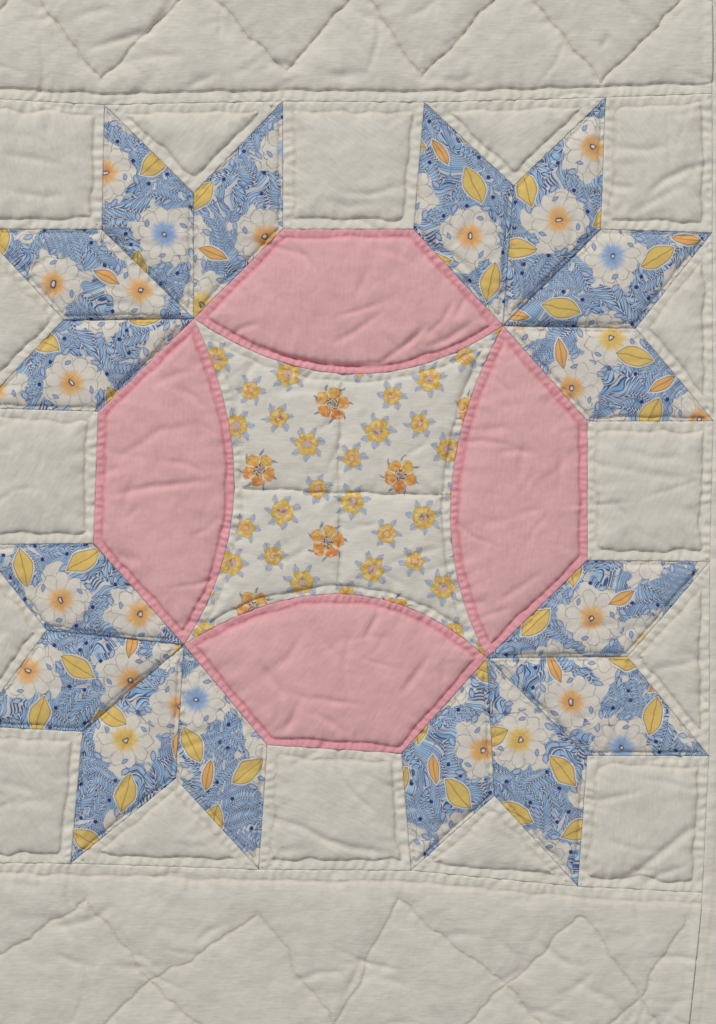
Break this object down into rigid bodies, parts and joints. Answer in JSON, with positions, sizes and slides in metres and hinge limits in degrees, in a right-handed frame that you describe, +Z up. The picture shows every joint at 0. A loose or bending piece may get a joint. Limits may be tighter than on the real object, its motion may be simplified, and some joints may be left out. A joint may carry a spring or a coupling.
{
  "type": "folded patchwork quilt",
  "caption": "Length of quilted star and melon patchwork in white, pink and flowered cotton, folded in three like a letter with the patchwork outside.",
  "frame": {"origin": "middle of the footprint, on the surface that the folded quilt lies on", "axes": "+X across the folds from the wide fold to the tight one, +Y along the folds towards the top of the patchwork, +Z up out of the patchwork"},
  "size_m": [0.34, 0.465, 0.0237],
  "materials": {
    "white_cotton": "unbleached white cotton muslin, plain woven, washed and puckered",
    "pink_cotton": "plain pink cotton, deeper along the seams",
    "blue_flowered_cotton": "printed cotton, white daisies and yellow leaves over blue sprigs",
    "yellow_flowered_cotton": "printed cotton, small yellow flowers with grey-blue leaves on off-white",
    "quilting_thread": "off-white cotton quilting thread"
  },
  "bodies": {
    "root": {"quilt": "white_cotton"}
  },
  "joints": []
}
